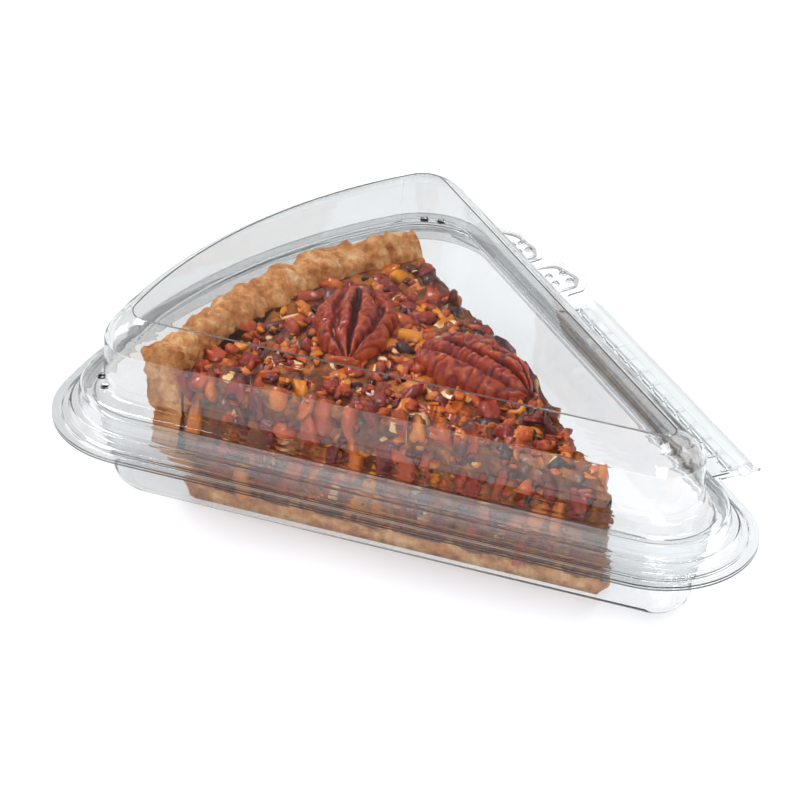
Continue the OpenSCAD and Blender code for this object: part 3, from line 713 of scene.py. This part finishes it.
def nutPiece(name, centres, frames, rng, scale=1.0, spread=6.28, lowest=0.0, slim=1.0):
    # The centres are [n, 3]. The frames, [n, 3, 3], hold each spot's along, across and outward directions.
    k = choppedNuts
    n = len(centres)
    base, quads, tris = lumpShape()
    size = np.stack([
        rng.uniform(*k["length"], n),
        rng.uniform(*k["width"], n) * slim,
        rng.uniform(*k["thickness"], n)], axis=-1)
    shape = np.repeat(base[None], n, axis=0)
    # square the ball a little, pinch and groove it, and roughen it: broken pieces, not beads
    shape = np.sign(shape) * np.abs(shape) ** rng.uniform(*k["square"], (n, 1, 1))
    phase = rng.uniform(0, 6.28, (n, 1, 3))
    wave = np.sin(base[None] @ np.array([[2.9, 1.3, 0.7], [0.6, 3.1, 1.9], [1.7, 0.9, 3.3]]) * 1.4 + phase)
    shape = shape * (1 + k["lumps"] * wave)
    groove = np.exp(-(base[None, :, 1] / 0.3) ** 2) * (base[None, :, 2] > 0.2) * rng.uniform(0, 0.6, (n, 1))
    shape[..., 2] *= 1 - groove
    # knife cuts: what lies beyond a few random planes is pressed back onto them
    cutDepth = np.zeros(shape.shape[:2])
    for _ in range(k["cuts"]):
        cutWay = rng.normal(size=(n, 3))
        cutWay /= np.linalg.norm(cutWay, axis=1, keepdims=True)
        beyond = np.einsum("nvi,ni->nv", shape, cutWay) - rng.uniform(*k["cutAt"], (n, 1))
        beyond = np.maximum(beyond, 0)
        shape = shape - beyond[..., None] * cutWay[:, None, :]
        cutDepth = np.maximum(cutDepth, beyond)
    shape = shape * size[:, None, :] * scale
    turned = rng.uniform(-spread / 2, spread / 2, n)
    tilted = rng.normal(0, k["tilt"], n)
    rolled = rng.normal(0, k["tilt"], n)
    spin = turnMatrices(turned, tilted, rolled)
    shape = np.einsum("nij,nvj->nvi", spin, shape)
    # painted shade: the share of each piece that lies low, towards the custard, is darkened in the material
    level = shape[..., 2] / np.maximum(shape[..., 2].max(axis=1, keepdims=True), 0.1)
    sunkShade = np.clip((0.5 - level) / 0.7, 0, 1)
    points = np.einsum("nvi,nij->nvj", shape, frames) + centres[:, None, :]
    points[..., 2] = np.maximum(points[..., 2], lowest)
    offset = (np.arange(n) * len(base))[:, None, None]
    faces = (quads[None] + offset).reshape(-1, 4).tolist() + (tris[None] + offset).reshape(-1, 3).tolist()
    tint = np.repeat(rng.normal(*k["tint"], n)[:, None], len(base), axis=1) + 0.06 * wave.mean(axis=-1)
    pale = (rng.uniform(size=n) < k["paleShare"])[:, None]
    broken = np.where(pale, 0.3 + 2.2 * cutDepth, 0.9 * cutDepth)
    piece = meshPiece(name, points, faces, choppedPecan, "tray", {
        "tint": tint, "broken": broken, "sunkShade": sunkShade})
    return piece


def topNuts(rng):
    # one piece near each spot of a triangular grid, 56 mm being the slice's middle from its apex
    k = choppedNuts
    pitch = k["topPitch"]
    i, j = np.meshgrid(np.arange(-30, 31), np.arange(-30, 31), indexing="ij")
    x = (i + 0.5 * (j % 2)) * pitch - 56
    y = j * pitch * 0.866
    x = x.ravel() + rng.uniform(-k["topStray"], k["topStray"], x.size)
    y = y.ravel() + rng.uniform(-k["topStray"], k["topStray"], y.size)
    radius = np.hypot(x, y)
    angle = np.degrees(np.arctan2(y, -x)) / slicePlace["halfAngle"]
    fromFace = radius * (1 - np.abs(angle)) * math.radians(slicePlace["halfAngle"])
    inside = (radius < k["topReach"]) & (fromFace > k["topEdge"]) & (np.abs(angle) < 1)
    for spot in halves.values():
        at = halfPlace(spot) - np.array(slicePlace["apex"])
        turn = math.radians(spot["turn"])
        u = (x - at[0]) * math.cos(turn) + (y - at[1]) * math.sin(turn)
        v = -(x - at[0]) * math.sin(turn) + (y - at[1]) * math.cos(turn)
        inside &= (u / k["halfOval"][0]) ** 2 + (v / k["halfOval"][1]) ** 2 > 0.8
    radius, angle = radius[inside], angle[inside]
    height = topHeight(radius, angle) + rng.uniform(*k["topSink"], radius.size)
    centres = slicePoints(radius, angle, height)
    frames = np.repeat(np.eye(3)[None], len(centres), axis=0)
    return nutPiece("topNuts", centres, frames, rng)


def faceNuts(name, sign, rng):
    # the same on a cut face: the far one has the sign 1, the near one -1
    k = choppedNuts
    pitchAlong, pitchUp = k["facePitch"]
    i, j = np.meshgrid(np.arange(24), np.arange(5), indexing="ij")
    strayAlong, strayUp = k["faceStray"]
    radius = k["faceStart"][0] + (i + 0.5 * (j % 2)) * pitchAlong
    radius = radius + rng.uniform(-strayAlong, strayAlong, i.shape)
    height = k["faceStart"][1] + j * pitchUp * 0.9
    height = height + rng.uniform(-strayUp, strayUp, i.shape)
    radius, height = radius.ravel(), height.ravel()
    # the crust's inside slopes from 99 mm at its bottom to 109 mm at the bend of its wall
    limit = np.where(height < crustShape["wallHeight"], 99 + (height - 4.4) * 1.1, 109) - k["faceWall"]
    inside = (radius < limit) & (height < topHeight(radius, sign + 0 * radius) - 1.0)
    radius, height = radius[inside], height[inside]
    centres = slicePoints(radius, sign + 0 * radius, height)
    turn = math.radians(slicePlace["halfAngle"])
    out = np.array([math.sin(turn), sign * math.cos(turn), 0])
    centres = centres + out * rng.uniform(*k["faceSink"], len(centres))[:, None]
    along = np.array([-math.cos(turn), sign * math.sin(turn), 0])
    frameRows = np.stack([np.array([0, 0, 1.0]), along, out])
    frames = np.repeat(frameRows[None], len(centres), axis=0)
    lowest = slicePlace["bottom"] + crustShape["thickness"] + 0.4
    return nutPiece(name, centres, frames, rng, k["faceScale"], k["faceSpin"], lowest, k["faceSlim"])


def nutBits(rng):
    # fine bits of nut, mostly sunk in the custard, on top and on both cut faces
    count = choppedNuts["bitsOnTop"]
    faceCount = choppedNuts["bitsPerFace"]
    radius = 104 * np.sqrt(rng.uniform(0.01, 1, count))
    angle = rng.uniform(-0.97, 0.97, count)
    top = slicePoints(radius, angle, topHeight(radius, angle) + rng.uniform(-0.5, 0.35, count))
    sides = []
    for sign in (-1.0, 1.0):
        radius = rng.uniform(6, 98, faceCount)
        height = rng.uniform(6, 30, faceCount)
        keep = height < topHeight(radius, sign + 0 * radius) - 1
        sides.append(slicePoints(radius[keep], sign + 0 * radius[keep], height[keep]))
    centres = np.concatenate([top] + sides)
    frames = np.repeat(np.eye(3)[None], len(centres), axis=0)
    return nutPiece("nutBits", centres, frames, rng, choppedNuts["bitScale"])


nutRandom = np.random.default_rng(choppedNuts["seed"])
nutGroups = [
    topNuts(nutRandom),
    faceNuts("nearFaceNuts", -1.0, nutRandom),
    faceNuts("farFaceNuts", 1.0, nutRandom),
    nutBits(nutRandom),
]
lumpPoints = len(lumpShape()[0])
print("chopped nuts laid:", sum(len(group.data.vertices) // lumpPoints for group in nutGroups))


# pecan halves: a domed oval with a deep middle groove, side furrows and cross wrinkles

pecanHalf = {
    "halfLength": 16.0,
    "halfWidth": 9.5,
    "height": 6.6,
    "rows": 170,
    "columns": 150,
    # what follows is in shares of the half sizes
    "grooveWidth": 0.085,
    "grooveDepth": 0.62,
    "furrowFrom": 0.5,      # from the middle line
    "furrowWidth": 0.1,
    "furrowDepth": 0.42,
    "wrinkleDepth": 0.11,
    "fineDepth": 0.05,
    "nubAt": -0.78,
    "nubLength": 0.16,
    "nubWidth": 0.28,
    "nubHeight": 1.05,
}


def makeHalf(name, node, spot, seed):
    # Height is a dome times ridges: each side of the middle groove has two ridges split by a furrow,
    # and wrinkles cross them. The outline narrows towards the pointed end.
    p = pecanHalf
    u = -np.cos(np.linspace(0, math.pi, p["rows"]))
    across = np.linspace(0, 2 * math.pi, p["columns"], endpoint=False)
    u, across = np.meshgrid(u, across, indexing="ij")
    v = np.cos(across)
    upper = np.sin(across)
    width = p["halfWidth"] * np.maximum(1 - np.abs(u) ** 2.3, 0) ** 0.5 * (1 - 0.16 * u)
    rise = np.maximum(1 - u * u, 0) ** 0.4
    flat = np.stack([u * p["halfLength"], v * p["halfWidth"], 0 * u], axis=-1)
    bend = planeWaves(flat, 16, seed + 1) * 0.05
    w = v + bend
    groove = np.exp(-(w / (p["grooveWidth"] + 0.03 * u ** 2)) ** 2)
    furrowPlace = p["furrowFrom"] + 0.08 * np.sin(3.4 * u + np.sign(w))
    furrow = np.exp(-((np.abs(w) - furrowPlace) / p["furrowWidth"]) ** 2)
    warp = planeWaves(flat, 7, seed + 2)
    phase = u * 5.4 + np.abs(w) * 1.2 + warp * 1.35 + np.sign(w) * 0.8
    wrinkle = np.abs(np.sin(phase * math.pi / 1.7)) ** 0.6
    fine = planeWaves(flat, 2.6, seed + 3)
    height = 1 - p["grooveDepth"] * groove - p["furrowDepth"] * furrow
    height = height + p["wrinkleDepth"] * (wrinkle - 0.75) * (1 - groove) + p["fineDepth"] * fine
    # the nub near one end, where the nut's halves were joined
    nub = np.exp(-(((u - p["nubAt"]) / p["nubLength"]) ** 2 + (w / p["nubWidth"]) ** 2))
    height = height * (1 - nub) + p["nubHeight"] * nub
    top = np.maximum(upper, 0) ** 0.75 * p["height"] * rise * height
    bottom = np.minimum(upper, 0) * 1.6 * rise
    edge = 1 + 0.05 * np.sin(u * 9 + 3 * np.sign(v)) + 0.02 * fine - 0.05 * (1 - wrinkle)
    x = u * p["halfLength"]
    y = v * width * edge
    z = np.where(upper > 0, top, bottom)
    turn = math.radians(spot["turn"])
    at = halfPlace(spot)
    points = np.stack([
        at[0] + x * math.cos(turn) - y * math.sin(turn),
        at[1] + x * math.sin(turn) + y * math.cos(turn),
        slicePlace["top"] + 0.3 + z], axis=-1)
    rows, cols = u.shape
    faces = gridFaces(rows, cols, closeCols=True).tolist()
    # skin tone with painted light: lighter on the raised wrinkles as painted highlight, darker in the groove
    # and furrows as painted shade, with a little random tone
    tint = 0.24 + 0.25 * (wrinkle - 0.6) - 0.35 * groove - 0.2 * furrow + 0.05 * fine
    broken = 0.75 * nub * (upper > 0.2)
    piece = meshPiece(name, points, faces, halfPecan, "tray", {"tint": tint, "broken": broken})
    work = bmesh.new()
    work.from_mesh(piece.data)
    bmesh.ops.remove_doubles(work, verts=work.verts, dist=1e-6)
    bmesh.ops.recalc_face_normals(work, faces=work.faces)
    work.to_mesh(piece.data)
    work.free()
    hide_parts(node)


makeHalf("pecanHalfRear", "pecan_half_rear", halves["rear"], 31)
makeHalf("pecanHalfFront", "pecan_half_front", halves["front"], 47)
print("pecan halves made")


# floor, lamps, world and camera

stage = {
    "floorSize": 3.0,       # metres
    "floorColour": "#E9EAEC",
    "floorGlow": 0.19,      # as the camera sees it
    "throughGlow": (0.34, 0.78),    # seen through the sheets, at the left and at the right
    "glowWay": (0.72, 0.69, 0.0),   # from left to right in the picture
    "glowReach": 0.08,      # metres to each side of the middle
    "glowEnd": (0.11, 0.20),    # metres from the middle, where the rise fades out
    "mirrorShare": 0.6,     # what mirrors see of the floor's own colour
    "dimFloor": "#77797C",
    "poolFrom": 0.40,       # metres from the middle
    "poolTo": 0.9,
    "poolEdge": 0.3,        # what is left of its light beyond the pool
    "worldLight": 0.4,      # for all rays but those of the camera, of mirrors and of bent light
    "horizonTop": 0.05,     # sines of the heights between which the background turns to ceiling
    "ceilingFrom": 0.26,
    "ceilingLight": 0.04,   # for mirrors
    "bentCeiling": 0.10,    # for rays bent by the sheets
}


def makeFloor():
    material, tree = newMaterial("paleFloor")
    path = addNode(tree, "ShaderNodeLightPath")
    seen = addNode(tree, "ShaderNodeMath", {"operation": "MAXIMUM"}, {
        0: path.outputs["Is Camera Ray"], 1: path.outputs["Is Transmission Ray"]})
    # the camera sees the pale floor everywhere, and bent rays see it grow dim outside a pool of light
    place = addNode(tree, "ShaderNodeTexCoord")
    distance = addNode(tree, "ShaderNodeVectorMath", {"operation": "LENGTH"}, {0: place.outputs["Object"]})
    pool = addNode(tree, "ShaderNodeMapRange", {
        "interpolation_type": "SMOOTHSTEP",
        "From Min": stage["poolFrom"], "From Max": stage["poolTo"],
        "To Min": 1.0, "To Max": stage["poolEdge"],
    }, {"Value": distance.outputs["Value"]})
    lit = addNode(tree, "ShaderNodeMath", {"operation": "MAXIMUM"}, {
        0: pool.outputs["Result"], 1: path.outputs["Is Camera Ray"]})
    # seen through the sheets it glows more, rising from left to right, and less again far from the pack
    acrossPicture = addNode(tree, "ShaderNodeVectorMath", {
        "operation": "DOT_PRODUCT", 1: stage["glowWay"]}, {0: place.outputs["Object"]})
    highest = addNode(tree, "ShaderNodeMapRange", {
        "From Min": stage["glowEnd"][0], "From Max": stage["glowEnd"][1],
        "To Min": stage["throughGlow"][1], "To Max": stage["throughGlow"][0],
    }, {"Value": distance.outputs["Value"]})
    bentGlow = addNode(tree, "ShaderNodeMapRange", {
        "From Min": -stage["glowReach"], "From Max": stage["glowReach"],
        "To Min": stage["throughGlow"][0],
    }, {"Value": acrossPicture.outputs["Value"], "To Max": highest.outputs["Result"]})
    throughGlow = addNode(tree, "ShaderNodeMapRange", {
        "To Min": stage["floorGlow"],
    }, {"Value": path.outputs["Is Transmission Ray"], "To Max": bentGlow.outputs["Result"]})
    glowing = addNode(tree, "ShaderNodeMath", {"operation": "MULTIPLY"}, {
        0: seen.outputs["Value"], 1: throughGlow.outputs["Result"]})
    glow = addNode(tree, "ShaderNodeMath", {"operation": "MULTIPLY"}, {
        0: glowing.outputs["Value"], 1: lit.outputs["Value"]})
    # its own colour is dimmer in mirrors
    mirrored = addNode(tree, "ShaderNodeMapRange", {
        "To Min": 1.0, "To Max": stage["mirrorShare"]}, {"Value": path.outputs["Is Glossy Ray"]})
    share = addNode(tree, "ShaderNodeMath", {"operation": "MULTIPLY"}, {
        0: lit.outputs["Value"], 1: mirrored.outputs["Result"]})
    shade = addNode(tree, "ShaderNodeMix", {
        "data_type": "RGBA", 6: linearColour(stage["dimFloor"]), 7: linearColour(stage["floorColour"]),
    }, {0: share.outputs["Value"]})
    dull = addNode(tree, "ShaderNodeBsdfDiffuse", {}, {"Color": shade.outputs[2]})
    white = addNode(tree, "ShaderNodeEmission", {"Color": (1, 1, 1, 1)}, {"Strength": glow.outputs["Value"]})
    both = addNode(tree, "ShaderNodeAddShader", {}, {0: dull.outputs["BSDF"], 1: white.outputs["Emission"]})
    addNode(tree, "ShaderNodeOutputMaterial", {}, {"Surface": both.outputs["Shader"]})
    size = stage["floorSize"] / 2
    corners = [(-size, -size, 0), (size, -size, 0), (size, size, 0), (-size, size, 0)]
    mesh = bpy.data.meshes.new("floor")
    mesh.from_pydata(corners, [], [(0, 1, 2, 3)])
    mesh.materials.append(material)
    floor = bpy.data.objects.new("floor", mesh)
    bpy.context.scene.collection.objects.link(floor)


def makeWorld():
    world = bpy.data.worlds.new("studioWorld")
    bpy.context.scene.world = world
    world.use_nodes = True
    tree = world.node_tree
    tree.nodes.clear()
    path = addNode(tree, "ShaderNodeLightPath")
    seen = addNode(tree, "ShaderNodeMath", {"operation": "MAXIMUM"}, {
        0: path.outputs["Is Camera Ray"], 1: path.outputs["Is Transmission Ray"]})
    seenOrMirrored = addNode(tree, "ShaderNodeMath", {"operation": "MAXIMUM"}, {
        0: seen.outputs["Value"], 1: path.outputs["Is Glossy Ray"]})
    # mirrors and bent rays see the white background low down and a dim ceiling above it
    way = addNode(tree, "ShaderNodeTexCoord")
    parts = addNode(tree, "ShaderNodeSeparateXYZ", {}, {"Vector": way.outputs["Generated"]})
    overhead = addNode(tree, "ShaderNodeMapRange", {
        "To Min": stage["ceilingLight"], "To Max": stage["bentCeiling"],
    }, {"Value": path.outputs["Is Transmission Ray"]})
    ceiling = addNode(tree, "ShaderNodeMapRange", {
        "interpolation_type": "SMOOTHSTEP",
        "From Min": stage["horizonTop"], "From Max": stage["ceilingFrom"],
        "To Min": 1.0,
    }, {"Value": parts.outputs["Z"], "To Max": overhead.outputs["Result"]})
    bounced = addNode(tree, "ShaderNodeMapRange", {
        "To Min": stage["worldLight"],
    }, {"Value": seenOrMirrored.outputs["Value"], "To Max": ceiling.outputs["Result"]})
    strength = addNode(tree, "ShaderNodeMapRange", {
        "To Max": 1.0,
    }, {"Value": path.outputs["Is Camera Ray"], "To Min": bounced.outputs["Result"]})
    sky = addNode(tree, "ShaderNodeBackground", {"Color": (1, 1, 1, 1)}, {
        "Strength": strength.outputs["Result"]})
    addNode(tree, "ShaderNodeOutputWorld", {}, {"Surface": sky.outputs["Background"]})


# area lamps that all point at the middle of the pack: places and sizes in metres, power in watts
lamps = {
    "backSoftbox": {"at": (-0.58, -0.04, 0.78), "size": (0.36, 0.28), "power": 4.8},
    "topSoftbox": {"at": (0.25, -0.15, 0.95), "size": (0.4, 0.3), "power": 1.7},
    "leftFill": {"at": (-0.9, -0.45, 0.45), "size": (0.5, 0.5), "power": 1.5},
    "frontFill": {"at": (0.60, -0.80, 0.54), "size": (0.5, 0.3), "power": 4.6},
    "rightFill": {"at": (0.75, 0.5, 0.62), "size": (0.5, 0.4), "power": 1.5},
    "sparkle": {"at": (-0.10, 0.45, 0.85), "size": (0.12, 0.10), "power": 1.3},
}


def addLamps():
    for name, lamp in lamps.items():
        light = bpy.data.lights.new(name, "AREA")
        light.shape = "RECTANGLE"
        light.size, light.size_y = lamp["size"]
        light.energy = lamp["power"]
        holder = bpy.data.objects.new(name, light)
        bpy.context.scene.collection.objects.link(holder)
        at = np.array(lamp["at"])
        away = at / np.linalg.norm(at)
        side = np.cross([0, 0, 1.0], away)
        side /= np.linalg.norm(side)
        up = np.cross(away, side)
        placeObject(holder, at, side, up, away)


def placeObject(holder, at, right, up, back):
    rows = [[right[i], up[i], back[i], at[i]] for i in range(3)]
    holder.matrix_world = [list(column) for column in zip(*(rows + [[0, 0, 0, 1]]))]


photoCamera = {
    "turn": 43.64,          # degrees round the pack from the front
    "height": 32.06,        # degrees above the table
    "roll": 0.98,           # degrees
    "distance": 0.7002,     # metres
    "target": (-0.010879, -0.004057, 0.023),
    "lens": 130.49,         # mm on a sensor 36 mm wide
}


def addCamera():
    c = photoCamera
    turn, height, roll = (math.radians(c[key]) for key in ("turn", "height", "roll"))
    back = np.array([math.sin(turn) * math.cos(height), -math.cos(turn) * math.cos(height), math.sin(height)])
    right = np.cross(-back, [0, 0, 1.0])
    right /= np.linalg.norm(right)
    up = np.cross(back, right)
    rolledRight = math.cos(roll) * right + math.sin(roll) * up
    rolledUp = -math.sin(roll) * right + math.cos(roll) * up
    data = bpy.data.cameras.new("photoCamera")
    data.sensor_fit = "HORIZONTAL"
    data.sensor_width = 36.0
    data.lens = c["lens"]
    data.clip_start = 0.01
    camera = bpy.data.objects.new("photoCamera", data)
    bpy.context.scene.collection.objects.link(camera)
    placeObject(camera, np.array(c["target"]) + back * c["distance"], rolledRight, rolledUp, back)
    bpy.context.scene.camera = camera


makeFloor()
makeWorld()
addLamps()
addCamera()
bpy.context.scene.view_settings.view_transform = "Standard"
print("stage set")
